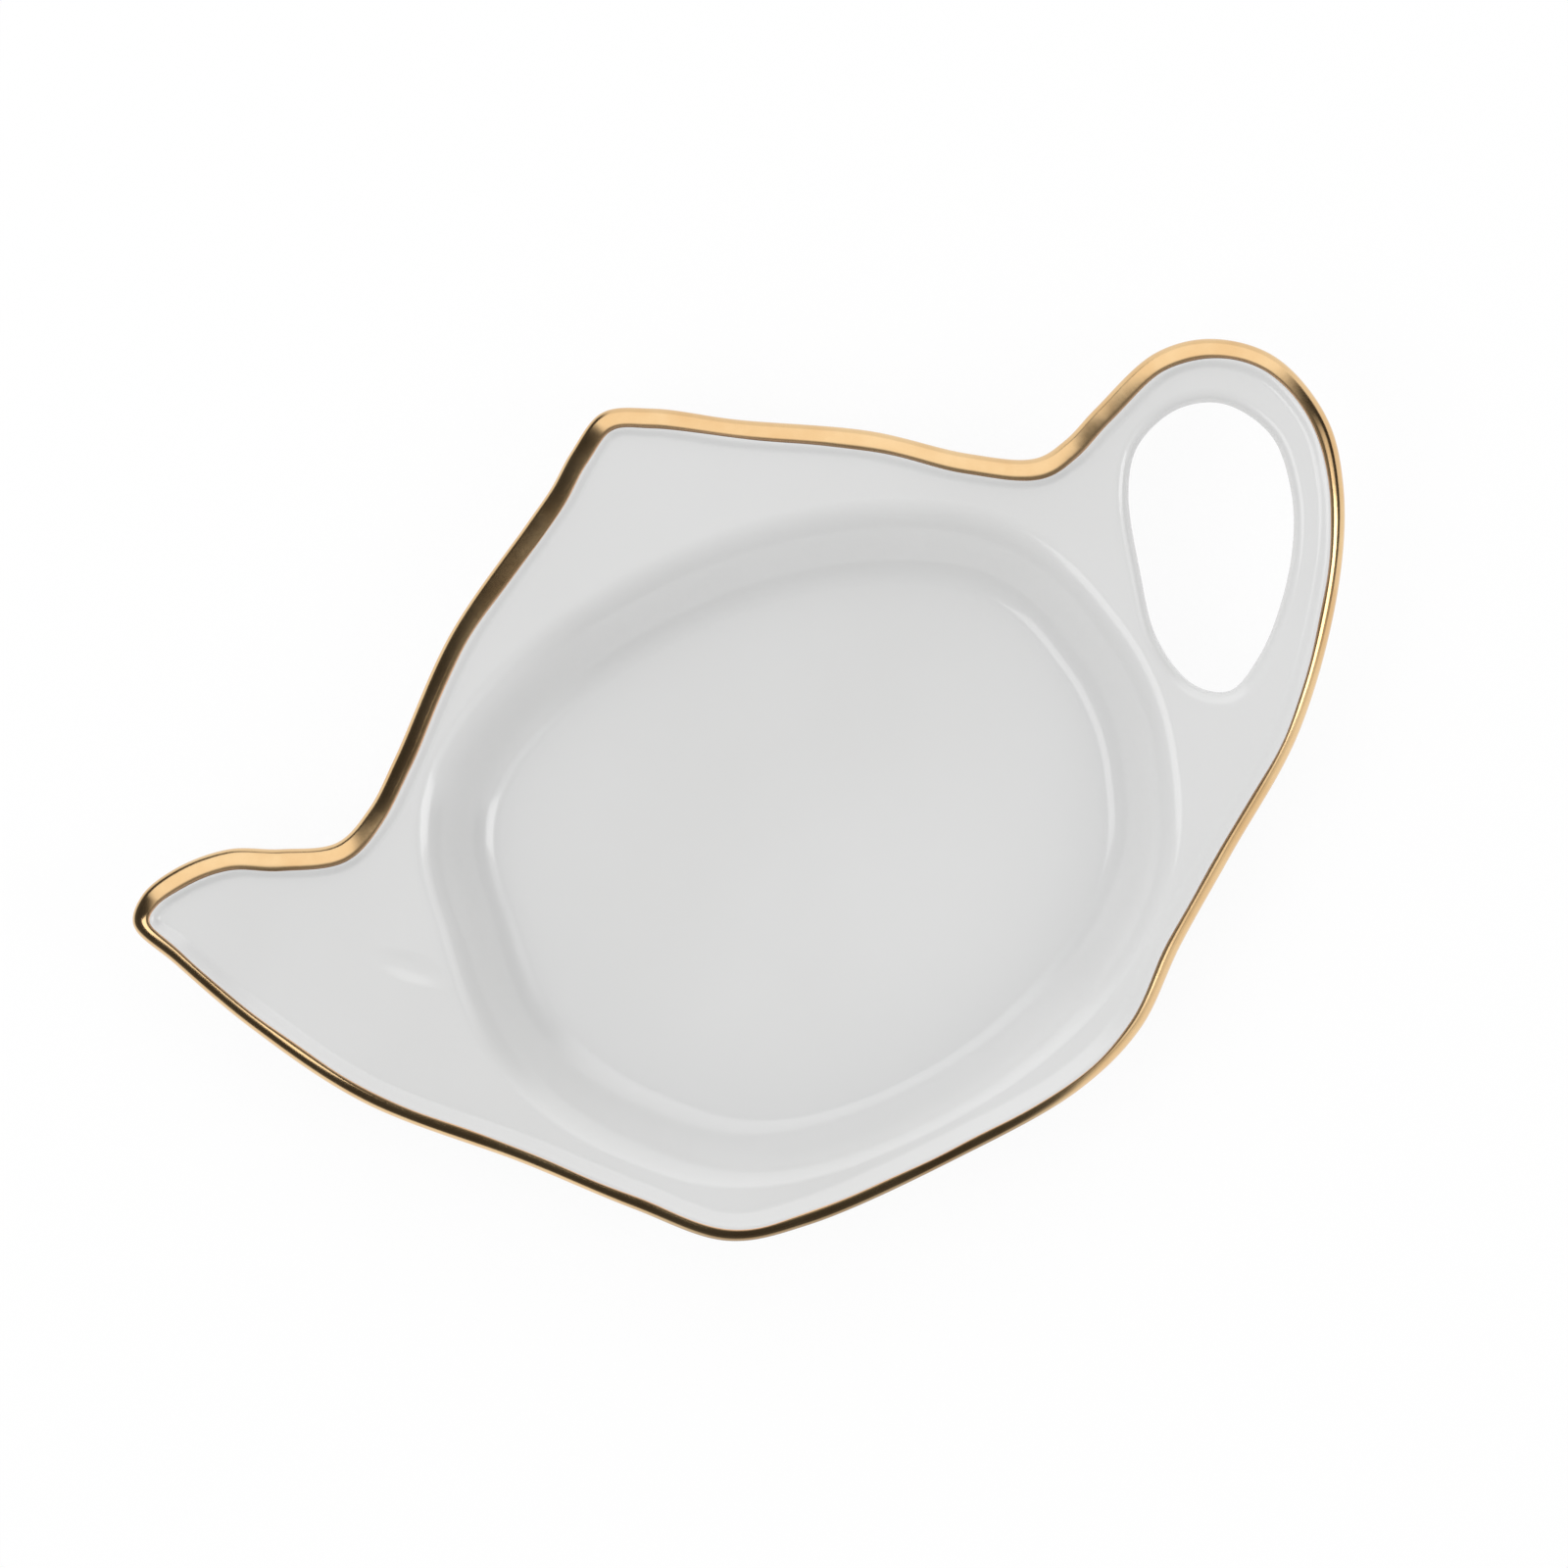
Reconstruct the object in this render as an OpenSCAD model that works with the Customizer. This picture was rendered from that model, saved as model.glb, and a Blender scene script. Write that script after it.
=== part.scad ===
// Tea bag rest: a shallow glazed dish with a teapot's outline, a gilded lip and a bare foot.
// +X runs from the spout to the handle, +Y from the base to the lid, +Z up.
// The origin is on the table, under the middle of the outline.

/* [Dish] */
// Length from the spout's tip to the back of the handle
dish_l = 120; // [112:1:150]
// Width from the base to the point of the lid
dish_w = 76.7; // [72:0.1:94]
// Thickness of the well's floor
floor_t = 3; // [2:0.1:5]

/* [Well] */
// Depth of the well below its shoulder
well_depth = 6; // [4:0.1:9]
// Run of the well's wall, seen from above
wall_run = 8; // [5:0.1:11]
// Run of the same wall on the base side, where the rim is near
base_run = 5.4; // [4:0.1:9]
// Hollow in the middle of the floor
floor_dip = 0.4; // [0:0.1:1]

/* [Flange and lip] */
// Angle in degrees at which the flange climbs away from the well
flange_tilt = 3.5; // [0:0.5:8]
// Radius of the rounded lip
lip_r = 1.55; // [1.3:0.05:2]
// Height of the lip's crest over the flange
bead_rise = 0.55; // [0.3:0.05:1.2]
// Width of the cove between the crest and the flange
cove_w = 1.3; // [0.9:0.1:2.2]
// Depth of the channel in the spout
spout_dip = 0.5; // [0:0.1:1]

/* [Gilding] */
// How far the gold reaches inward past the crest
gilt_in = 0.25; // [0.2:0.05:0.7]
// How far the gold reaches down from the crest
gilt_drop = 2.5; // [2:0.1:3]
// Thickness of the gold band
gilt_t = 0.3; // [0.2:0.05:0.6]

/* [Finger hole] */
// Width of the hole, along the dish
grip_w = 17.8; // [12:0.1:18.8]
// Length of the hole, across the dish
grip_l = 25.7; // [18:0.1:27]

/* [Foot] */
// Height of the foot ring
foot_h = 1.6; // [1:0.1:4]
// Width of the foot ring's wall
foot_w = 3; // [2:0.1:6]
// Distance from the floor's edge in to the foot ring
foot_inset = 3; // [1:0.1:6]

/* [Hidden] */

// Rim from the handle's upper root over the lid, the spout and the base to its lower root,
// as shares of the dish's length and width
body_rim_shares = [
    [0.284, 0.224], [0.239, 0.264], [0.178, 0.340], [0.088, 0.423], [0.034, 0.478], [-0.003, 0.500],
    [-0.038, 0.473], [-0.064, 0.444], [-0.092, 0.419], [-0.183, 0.338], [-0.263, 0.232],
    [-0.298, 0.190], [-0.331, 0.170], [-0.372, 0.192], [-0.408, 0.219], [-0.450, 0.226],
    [-0.484, 0.214], [-0.500, 0.186], [-0.484, 0.121], [-0.453, 0.012], [-0.399, -0.129],
    [-0.309, -0.277], [-0.247, -0.385], [-0.192, -0.469], [-0.130, -0.494], [0, -0.499],
    [0.104, -0.488], [0.167, -0.453], [0.222, -0.384], [0.288, -0.311],
    [0.376, -0.213]
];
// The rest of the rim, round the handle and back to its upper root
handle_rim_shares = [
    [0.452, -0.075], [0.489, 0.033], [0.500, 0.118], [0.484, 0.210],
    [0.446, 0.262], [0.402, 0.276], [0.342, 0.247], [0.310, 0.228]
];
// Point of the floor that the well's rays start from, as shares of length and width
pole_share = [0, -0.16];
// Reach of the well's shoulder from that point, every 30 degrees from +X
well_reach_shares = [0.290, 0.338, 0.432, 0.474, 0.450, 0.340, 0.298, 0.290, 0.308, 0.297, 0.290, 0.284];
// Middle of the finger hole, as shares of the dish
grip_centre_share = [0.3825, 0.036];
// Edge of the finger hole, as shares of the hole's own width and length
grip_shares = [
    [0.489, 0.268], [0.337, 0.443], [0.110, 0.497], [-0.152, 0.442], [-0.297, 0.314],
    [-0.427, 0.030], [-0.497, -0.220], [-0.430, -0.422], [-0.275, -0.498], [-0.080, -0.441],
    [0.118, -0.325], [0.337, -0.133], [0.461, 0.060]
];
// Middle of the spout's channel, and its half length and half width
spout_centre_share = [-0.385, 0.060];
spout_reach_share = [0.11, 0.15];

// Steps round the body's rim, round the handle, and across the well beside the handle
body_steps = 118;
handle_steps = 40;
arc_steps = 12;
foot_steps = 96;
spline_steps = 12;
// Neighbours on each side that a ray's direction is averaged over
fair_steps = 5;
// Which share of the body's rim is the spout's tip, the degrees that the rays there are turned towards
// the base so that they fan out over the spout, and the share of the rim over which that fades
spout_tip = 17;
spread = 12;
spread_share = 0.155;
// Ring places as shares of the floor, of the wall inside and beyond the shared ring, of the flange,
// and of the way from the handle's bounds to its hole
floor_ring_shares = [0.45, 0.8, 1];
wall_ring_shares = [0.14, 0.32, 0.5, 0.7];
shoulder_ring_shares = [0.86, 1];
flange_ring_shares = [0.35, 0.7];
grip_ring_shares = [0.25, 0.5, 0.75];
// Most of a narrow space that a shoulder or a cove may take
room_share = 0.6;

pole = dot_scale(pole_share);
grip_centre = dot_scale(grip_centre_share);
floor_z = foot_h + floor_t;
shoulder_z = floor_z + well_depth;
flange_t = 2 * lip_r - bead_rise;
// Outward shift that keeps the well's wall as thick as its floor
wall_shift = 0.45 * floor_t;
// Length over which the flange takes up its slope
flange_ease = wall_run / 2;
// Reach along the rim over which the lip's direction is averaged, which keeps sharp corners open,
// and the half length of rim that each single direction is taken from
fair_reach = 3 * lip_r;
probe = lip_r / 2;
// Extra rim length that a radian of turn counts for, so corners get more points
corner_length = 3.5 * lip_r;

function dot_scale(p) = [p.x * dish_l, p.y * dish_w];
function mix(a, b, f) = a + (b - a) * f;
function ease(f) = f * f * (3 - 2 * f);
function at(list, i) = list[(i + len(list)) % len(list)];
function mean(list) = [for (v = list) 1] * list / len(list);
function last(list) = list[len(list) - 1];
function reversed(list) = [for (i = [len(list) - 1:-1:0]) list[i]];
function closed(list) = concat(list, [list[0]]);

// Centripetal Catmull-Rom curve from b to c, with a and d as the neighbours
function knot(p, q) = sqrt(norm(q - p));
function blend(p, q, s, e, t) = ((e - t) * p + (t - s) * q) / (e - s);
function curve_point(a, b, c, d, f) =
    let (
        t1 = knot(a, b), t2 = t1 + knot(b, c), t3 = t2 + knot(c, d),
        t = mix(t1, t2, f),
        ab = blend(a, b, 0, t1, t), bc = blend(b, c, t1, t2, t), cd = blend(c, d, t2, t3, t)
    )
    blend(blend(ab, bc, 0, t2, t), blend(bc, cd, t1, t3, t), t1, t2, t);
function closed_curve(pts, steps) = [
    for (i = [0:len(pts) - 1], k = [0:steps - 1])
        curve_point(at(pts, i - 1), pts[i], at(pts, i + 1), at(pts, i + 2), k / steps)
];

// Rim as a curve of its own length, and of a key that runs on faster in the corners
rim_curve = closed_curve([for (p = concat(body_rim_shares, handle_rim_shares)) dot_scale(p)], spline_steps);
rim_count = len(rim_curve);
rim_steps = [for (i = [0:rim_count - 1]) at(rim_curve, i + 1) - rim_curve[i]];
function turn(p, q) = atan2(abs(cross(p, q)), p * q) * PI / 180;
function running(list) = [for (i = 0, k = 0; i <= len(list); k = k + at(list, i), i = i + 1) k];
rim_along = running([for (s = rim_steps) norm(s)]);
rim_key = running([
    for (i = [0:rim_count - 1]) norm(rim_steps[i]) + corner_length * turn(at(rim_steps, i - 1), rim_steps[i])
]);
function table(list, axis) = [for (i = [0:rim_count]) [list[i], at(rim_curve, i)[axis]]];
by_along = [table(rim_along, 0), table(rim_along, 1)];
by_key = [table(rim_key, 0), table(rim_key, 1)];
along_by_key = [for (i = [0:rim_count]) [rim_key[i], rim_along[i]]];
rim_end = last(rim_key);
root_key = rim_key[(len(body_rim_shares) - 1) * spline_steps];

function rim_at(tables, u) =
    let (end = last(tables[0])[0], k = (u + end) % end) [lookup(k, tables[0]), lookup(k, tables[1])];
function heading(s) = let (c = rim_at(by_along, s + probe) - rim_at(by_along, s - probe)) c / norm(c);
function inward(key) =
    let (s = lookup(key, along_by_key), c = mean([for (f = [-1:0.25:1]) heading(s + fair_reach * f)]))
    [-c.y, c.x] / norm(c);

keys = concat(
    [for (i = [0:body_steps - 1]) mix(0, root_key, i / body_steps)],
    [for (i = [0:handle_steps - 1]) mix(root_key, rim_end, i / handle_steps)]
);
rim_pts = [for (k = keys) rim_at(by_key, k)];
rim_in = [for (k = keys) inward(k)];

// Finger hole as a curve about its own middle, and its edge by the angle past the curve's start
grip_curve = closed_curve([for (p = grip_shares) [p.x * grip_w, p.y * grip_l]], spline_steps);
grip_start = atan2(grip_curve[0].y, grip_curve[0].x);
function past_start(v) = (atan2(v.y, v.x) - grip_start + 720) % 360;
grip_x = concat([for (p = grip_curve) [past_start(p), p.x]], [[360, grip_curve[0].x]]);
grip_y = concat([for (p = grip_curve) [past_start(p), p.y]], [[360, grip_curve[0].y]]);

// Rounding of the hole's edge, and how much of the cove fits between the lip and the hole
edge_r = flange_t / 2;
cove_fit = [
    for (p = rim_pts)
        let (gap = min([for (g = grip_curve) norm(grip_centre + g - p)]))
        min(1, room_share * (gap - lip_r - edge_r) / cove_w)
];

// Distance from the pole to the well's shoulder along v, and the run of its wall there
function share_at(list, turns) =
    let (u = turns * len(list), i = floor(u), f = u - i,
         a = at(list, i - 1), b = at(list, i), c = at(list, i + 1), d = at(list, i + 2))
    b + f * (c - a + f * (2 * a - 5 * b + 4 * c - d + f * (3 * b - a - 3 * c + d))) / 2;
function well_reach(v) =
    let (u = [v.x / dish_l, v.y / dish_w], turns = (atan2(u.y, u.x) + 360) % 360 / 360)
    norm(v) * share_at(well_reach_shares, turns) / norm(u);
function run_at(v) = mix(wall_run, base_run, pow(max(0, -v.y / norm(v)), 2));

// Height of the upper face over any point
function flange_rise(past) = past <= 0 ? 0 : tan(flange_tilt) * past * past / (past + flange_ease);
function channel(p) =
    let (q = p - dot_scale(spout_centre_share),
         away = min(1, norm([q.x / (dish_l * spout_reach_share.x), q.y / (dish_w * spout_reach_share.y)])))
    -spout_dip * pow(1 - away * away, 2);
function top_z(p) =
    let (v = p - pole, r = norm(v), reach = well_reach(v), run = run_at(v), past = r - reach)
    past < -run ? floor_z - floor_dip * pow(1 - pow(r / (reach - run), 2), 2)
    : channel(p) + flange_rise(past) + mix(floor_z, shoulder_z, ease(min(1, past / run + 1)));
// Height of the lower face, whose wall stands further out
function under_z(p) =
    let (v = p - pole, r = norm(v), reach = well_reach(v), run = run_at(v), past = r - reach)
    channel(p) * ease(max(0, min(1, past / run)))
    + flange_rise(past)
    + mix(foot_h, shoulder_z - flange_t, ease(max(0, min(1, (past - wall_shift) / run + 1))));

// Lip's profile: inward distance from the rim and height over the flange
lip_mid = [lip_r, bead_rise - lip_r];
gilt_end = asin(max(-0.95, 1 - gilt_drop / lip_r));
function cove(d) = [d, bead_rise * (1 + cos(180 * (d - lip_r) / cove_w)) / 2];
function lip_arc(a) = lip_mid + lip_r * [-cos(a), sin(a)];
gilt_face = concat([cove(lip_r + gilt_in)], [for (f = [0:0.2:1]) lip_arc(mix(90, gilt_end, f))]);
gilt_back = [for (p = gilt_face) mix(p, lip_mid, gilt_t / lip_r)];
bare_top = [for (f = [0, 0.5]) cove(mix(lip_r + cove_w, lip_r + gilt_in, f))];
bare_under = [for (f = [0.5, 1]) lip_arc(mix(gilt_end, -90, f))];
gilt_bed = concat([gilt_face[0]], gilt_back, [last(gilt_face)]);

function lip_point(i, d) = rim_pts[i] + rim_in[i] * (d <= lip_r ? d : mix(lip_r, d, cove_fit[i]));
foot_of_bead = [for (i = [0:len(keys) - 1]) lip_point(i, lip_r + cove_w)];
rim_z = [for (p = foot_of_bead) top_z(p)];
function lip_ring(d) = closed([
    for (i = [0:len(keys) - 1]) let (p = lip_point(i, d[0])) [p.x, p.y, rim_z[i] + d[1]]
]);

// Faces between two rows of points, seen from outside with the first row on the inside
function strip(a, b) = [
    for (j = [0:len(a) - 2], t = [[a[j], a[j + 1], b[j]], [a[j + 1], b[j + 1], b[j]]]) t
];
function strips(rows) = [for (k = [0:len(rows) - 2], t = strip(rows[k], rows[k + 1])) t];
function fan(p, ring) = [for (j = [0:len(ring) - 2]) [p, ring[j], ring[j + 1]]];
function flipped(faces) = [for (t = faces) [t[0], t[2], t[1]]];
module shell(faces) {
    polyhedron(
        points = [for (t = faces, p = t) p],
        faces = [for (k = [0:len(faces) - 1]) [3 * k, 3 * k + 1, 3 * k + 2]]
    );
}

// Directions of the rays from the pole: towards the foot of the bead round the body, spread out over
// the spout and averaged with their neighbours, then evenly across the handle's root
top_end = [for (i = [0:body_steps]) foot_of_bead[i]];
function spread_at(key) =
    let (away = abs(key - rim_key[spout_tip * spline_steps]) / (spread_share * rim_end))
    spread * pow(cos(90 * min(1, away)), 2);
end_angle = [
    for (i = [0:body_steps]) let (v = top_end[i] - pole) (atan2(v.y, v.x) + 360) % 360 + spread_at(keys[i])
];
function mean_angle(i, w) = mean([for (j = [i - w:i + w]) end_angle[j]]);
body_angle = [for (i = [0:body_steps]) mean_angle(i, min(fair_steps, i, body_steps - i))];
arc_angle = [for (i = [1:arc_steps - 1]) mix(last(body_angle), body_angle[0] + 360, i / arc_steps)];
rays = [for (a = concat(body_angle, arc_angle)) [cos(a), sin(a)]];
function on_ray(i, r) = pole + rays[i] * r;
function top_point(p) = [p.x, p.y, top_z(p)];
function under_point(p) = [p.x, p.y, under_z(p)];

// A ring right round the well at a share f of the wall, then rows that stop at the handle
function wall_reach(i, shift, f) = well_reach(rays[i]) + shift - run_at(rays[i]) * (1 - f);
function wall_ring(shift, f) = [for (i = [0:len(rays) - 1]) on_ray(i, wall_reach(i, shift, f))];
shared = last(wall_ring_shares);
function shoulder_reach(i, end, shift, f) =
    let (start = wall_reach(i, shift, shared), left = (end[i] - pole) * rays[i] - start)
    start + (f - shared) * min(run_at(rays[i]), room_share * left / (1 - shared));
function shoulder_row(end, shift, f) = [for (i = [0:body_steps]) on_ray(i, shoulder_reach(i, end, shift, f))];
function flange_row(end, shift, f) = [
    for (i = [0:body_steps]) mix(on_ray(i, shoulder_reach(i, end, shift, 1)), end[i], f)
];
function outer_rows(end, shift) = concat(
    [for (f = shoulder_ring_shares) shoulder_row(end, shift, f)],
    [for (f = flange_ring_shares) flange_row(end, shift, f)]
);
function body_part(row) = [for (i = [0:body_steps]) row[i]];

// Upper face, from the middle outward
top_rings = concat(
    [for (f = floor_ring_shares) closed([
        for (i = [0:len(rays) - 1]) top_point(on_ray(i, wall_reach(i, 0, 0) * f))])],
    [for (f = wall_ring_shares) closed([for (p = wall_ring(0, f)) top_point(p)])]
);
top_lip = lip_ring([lip_r + cove_w, 0]);
top_rows = concat(
    [body_part(last(top_rings))],
    [for (row = outer_rows(top_end, 0)) [for (p = row) top_point(p)]],
    [body_part(top_lip)]
);

// Lower face, whose wall stands further out
under_end = [for (i = [0:body_steps]) lip_point(i, lip_r)];
under_rings = [
    for (f = concat([0], wall_ring_shares)) closed([for (p = wall_ring(wall_shift, f)) under_point(p)])
];
under_lip = lip_ring(lip_arc(-90));
under_rows = concat(
    [body_part(last(under_rings))],
    [for (row = outer_rows(under_end, wall_shift)) [for (p = row) under_point(p)]],
    [body_part(under_lip)]
);

// Loop that bounds the handle: out along its lower root, round the rim, in along the upper root
// and back beside the well
function handle_loop(rows, lip, ring) = closed(concat(
    [for (k = [0:len(rows) - 1]) last(rows[k])],
    [for (i = [body_steps + 1:len(keys) - 1]) lip[i]],
    [for (k = [len(rows) - 1:-1:0]) rows[k][0]],
    reversed([for (i = [body_steps + 1:body_steps + arc_steps - 1]) ring[i]])
));
top_loop = handle_loop(top_rows, top_lip, last(top_rings));
under_loop = handle_loop(under_rows, under_lip, last(under_rings));

// The point of the hole's edge that faces each point of the loop
function grip_at(v) = let (a = past_start(v)) grip_centre + [lookup(a, grip_x), lookup(a, grip_y)];
grip_count = len(top_loop) - 1;
grip_edge = [for (j = [0:grip_count - 1]) grip_at([top_loop[j].x, top_loop[j].y] - grip_centre)];
grip_out = [
    for (j = [0:grip_count - 1])
        let (c = at(grip_edge, j + 1) - at(grip_edge, j - 1)) [c.y, -c.x] / norm(c)
];
function grip_ring(a) = closed([
    for (j = [0:grip_count - 1])
        let (p = grip_edge[j] + grip_out[j] * edge_r,
             high = top_z(p), low = under_z(p),
             q = grip_edge[j] + grip_out[j] * edge_r * (1 - cos(a)))
        [q.x, q.y, mix(low, high, (1 + sin(a)) / 2)]
]);
function grip_row(loop, edge, f, under) = closed([
    for (j = [0:grip_count - 1])
        let (p = mix(loop[j], edge[j], f)) under ? under_point([p.x, p.y]) : top_point([p.x, p.y])
]);
grip_rows = concat(
    [top_loop],
    [for (f = grip_ring_shares) grip_row(top_loop, grip_ring(90), f, false)],
    [for (a = [90:-45:-90]) grip_ring(a)],
    [for (f = reversed(grip_ring_shares)) grip_row(under_loop, grip_ring(-90), f, true)],
    [under_loop]
);

// One glazed casting: the well, the flange, the spout and the handle with its finger hole
module porcelain_dish() {
    lip_rings = [for (d = concat(bare_top, gilt_bed, bare_under)) lip_ring(d)];
    pole_top = [pole.x, pole.y, floor_z - floor_dip];
    pole_under = [pole.x, pole.y, foot_h];
    color([0.90, 0.90, 0.89]) shell(concat(
        flipped(fan(pole_top, top_rings[0])),
        strips(top_rings),
        strips(top_rows),
        strips(lip_rings),
        strips(reversed(under_rows)),
        strips(reversed(under_rings)),
        fan(pole_under, under_rings[0]),
        flipped(strips(grip_rows))
    ));
}

// Gold band let into the lip all the way round the outline
module gilt_rim() {
    color([0.85, 0.64, 0.30]) shell(concat(
        strips([for (d = gilt_face) lip_ring(d)]),
        flipped(strips([for (d = gilt_bed) lip_ring(d)]))
    ));
}

// Bare ring under the well that the dish stands on
function foot_outline(inset) = [
    for (i = [0:foot_steps - 1])
        let (t = 360 * i / foot_steps, e = [cos(t), sin(t)]) pole + e * (well_reach(e) - run_at(e) - inset)
];
module foot_ring() {
    color([0.93, 0.91, 0.87])
        linear_extrude(foot_h)
            difference() {
                polygon(foot_outline(foot_inset));
                polygon(foot_outline(foot_inset + foot_w));
            }
}

porcelain_dish();
gilt_rim();
foot_ring();
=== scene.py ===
import math

import bmesh
import bpy
import numpy as np
from mathutils import Matrix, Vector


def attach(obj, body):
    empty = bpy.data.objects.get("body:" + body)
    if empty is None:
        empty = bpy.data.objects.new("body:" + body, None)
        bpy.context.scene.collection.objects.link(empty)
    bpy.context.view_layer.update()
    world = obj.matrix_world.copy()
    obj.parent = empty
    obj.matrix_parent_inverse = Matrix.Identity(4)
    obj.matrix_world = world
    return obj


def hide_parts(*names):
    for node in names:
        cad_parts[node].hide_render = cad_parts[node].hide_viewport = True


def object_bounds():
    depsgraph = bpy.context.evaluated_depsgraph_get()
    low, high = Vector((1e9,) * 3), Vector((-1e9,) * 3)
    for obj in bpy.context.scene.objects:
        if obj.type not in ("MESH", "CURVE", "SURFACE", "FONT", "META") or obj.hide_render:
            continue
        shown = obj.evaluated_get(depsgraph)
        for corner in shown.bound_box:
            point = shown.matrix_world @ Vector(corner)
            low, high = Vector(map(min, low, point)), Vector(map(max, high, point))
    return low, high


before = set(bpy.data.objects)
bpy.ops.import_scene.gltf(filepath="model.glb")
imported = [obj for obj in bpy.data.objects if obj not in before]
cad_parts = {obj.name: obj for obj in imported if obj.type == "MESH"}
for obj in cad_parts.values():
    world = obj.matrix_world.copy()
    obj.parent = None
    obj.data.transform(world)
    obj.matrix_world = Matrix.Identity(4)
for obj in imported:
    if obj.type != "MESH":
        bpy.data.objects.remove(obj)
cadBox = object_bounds()
print("frame loaded:", sorted(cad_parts))

# Sizes are in millimetres until a mesh is made; +X runs from the spout to the handle, +Y from base to lid
millimetre = 0.001
fullTurn = 2 * math.pi
rightAngle = math.pi / 2
nudge = 1e-9   # keeps a direction defined at the pole itself

restShape = {
    "length": 120.0, "width": 76.7,   # outline, spout to handle and base to lid
    "floorThick": 3.0, "floorDip": 0.4,   # floor of the well, and the hollow in its middle
    "wellDepth": 6.0, "wallRun": 8.0, "baseRun": 5.4,   # well wall: depth, run from above, run by the base
    "flangeTilt": 3.5,   # degrees that the flange climbs away from the well
    "lipRadius": 1.55, "beadRise": 0.55, "coveWidth": 1.3,   # rounded lip and the cove inside it
    "spoutDip": 0.5,   # channel in the spout
    "gripWidth": 17.8, "gripLength": 25.7,   # finger hole
    "footHigh": 1.6, "footWide": 3.0, "footInset": 3.0,   # standing ring
    "crestLean": 0.45,   # how far the lip's crest lies further in on the lid side, and out on the base side
    "draw": 0.06,   # how far the glazed lip is drawn in so that the gold on it keeps the outline
    # middles and reaches as shares of the length and width
    "polePlace": (0, -0.16), "gripPlace": (0.3825, 0.036),
    "spoutPlace": (-0.385, 0.060), "spoutReach": (0.11, 0.15),
    # rim from the handle's upper root over the lid, the spout and the base to the lower root, as such shares
    "bodyRim": [
        (0.284, 0.224), (0.239, 0.264), (0.178, 0.340), (0.088, 0.423), (0.034, 0.478), (-0.003, 0.500),
        (-0.038, 0.473), (-0.064, 0.444), (-0.092, 0.419), (-0.183, 0.338), (-0.263, 0.232),
        (-0.298, 0.190), (-0.331, 0.170), (-0.372, 0.192), (-0.408, 0.219), (-0.450, 0.226),
        (-0.484, 0.214), (-0.500, 0.186), (-0.484, 0.121), (-0.453, 0.012), (-0.399, -0.129),
        (-0.309, -0.277), (-0.247, -0.385), (-0.192, -0.469), (-0.130, -0.494), (0, -0.499),
        (0.104, -0.488), (0.167, -0.453), (0.222, -0.384), (0.288, -0.311), (0.376, -0.213),
    ],
    "handleRim": [
        (0.452, -0.075), (0.489, 0.033), (0.500, 0.118), (0.484, 0.210),
        (0.446, 0.262), (0.402, 0.276), (0.342, 0.247), (0.310, 0.228),
    ],
    # reach of the well's shoulder from the pole, every 30 degrees from +X
    "wellReach": [0.290, 0.338, 0.432, 0.474, 0.450, 0.340, 0.298, 0.290, 0.308, 0.297, 0.290, 0.284],
    # edge of the finger hole, as shares of its own width and length
    "grip": [
        (0.489, 0.268), (0.337, 0.443), (0.110, 0.497), (-0.152, 0.442), (-0.297, 0.314),
        (-0.427, 0.030), (-0.497, -0.220), (-0.430, -0.422), (-0.275, -0.498), (-0.080, -0.441),
        (0.118, -0.325), (0.337, -0.133), (0.461, 0.060),
    ],
}

ripples = {   # unevenness that the hand-finished mould leaves
    "high": 0.05, "low": 0.04,   # height of the waves, and how far their tops lie below the true face
    "crossed": ((8.3, 0.6), (6.9, 1.9)),   # length of a radian and phase, along x and along y
    "slanted": (4.1, 5.3), "slantShare": 0.6,   # lengths of a radian, and height against the crossed waves
    "floorShare": 0.4,   # how much of it is left on the well's floor
}

glazeMark = {   # small hollow in the spout's glaze: middle, half length and width, degrees turned, depth
    "place": (-38.5, -0.4), "reach": (4.4, 1.6), "turn": -45, "deep": 0.25,
}

meshing = {
    "bodySteps": 472, "handleSteps": 168, "arcSteps": 48, "splineSteps": 48,
    "headings": 17,   # places along the rim that the lip's direction is averaged over
    "fairSteps": 20,   # neighbours on each side that a ray's direction is averaged over
    "spoutTip": 17, "spread": 12.0, "spreadShare": 0.155,   # how the rays fan out over the spout
    "floorRings": 12, "wallRings": 14, "shoulderRings": 6, "flangeRings": 40, "gripRings": 14,
    "coveRings": 12, "lipRings": 26, "edgeRings": 12,
    "sharedRing": 0.7,   # share of the wall at which the ring lies that the handle's patch starts from
    "room": 0.6,   # most of a narrow space that a shoulder or a cove may take
    "mergeWithin": 2e-7,   # metres
}

size = np.array([restShape["length"], restShape["width"]])
pole, gripCentre, spoutCentre, spoutReach = (
    np.array(restShape[name]) * size for name in ("polePlace", "gripPlace", "spoutPlace", "spoutReach"))
lipRadius, coveWidth, beadRise = (restShape[name] for name in ("lipRadius", "coveWidth", "beadRise"))
bodySteps, handleSteps, arcSteps = (meshing[name] for name in ("bodySteps", "handleSteps", "arcSteps"))
floorTop = restShape["footHigh"] + restShape["floorThick"]
shoulderTop = floorTop + restShape["wellDepth"]
flangeThick = 2 * lipRadius - beadRise
edgeRadius = flangeThick / 2
wallShift = 0.45 * restShape["floorThick"]   # keeps the wall as thick as the floor
flangeEase = restShape["wallRun"] / 2
fairReach = 3 * lipRadius   # half length of rim over which the lip's direction is averaged
probe = lipRadius / 2
cornerLength = 3.5 * lipRadius   # rim length that a radian of turn counts for


def norm(v):
    return np.sqrt((v * v).sum(-1))


def mix(a, b, f):
    return a + (b - a) * f


def ease(f):   # smooth step from 0 to 1
    return f * f * (3 - 2 * f)


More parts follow.
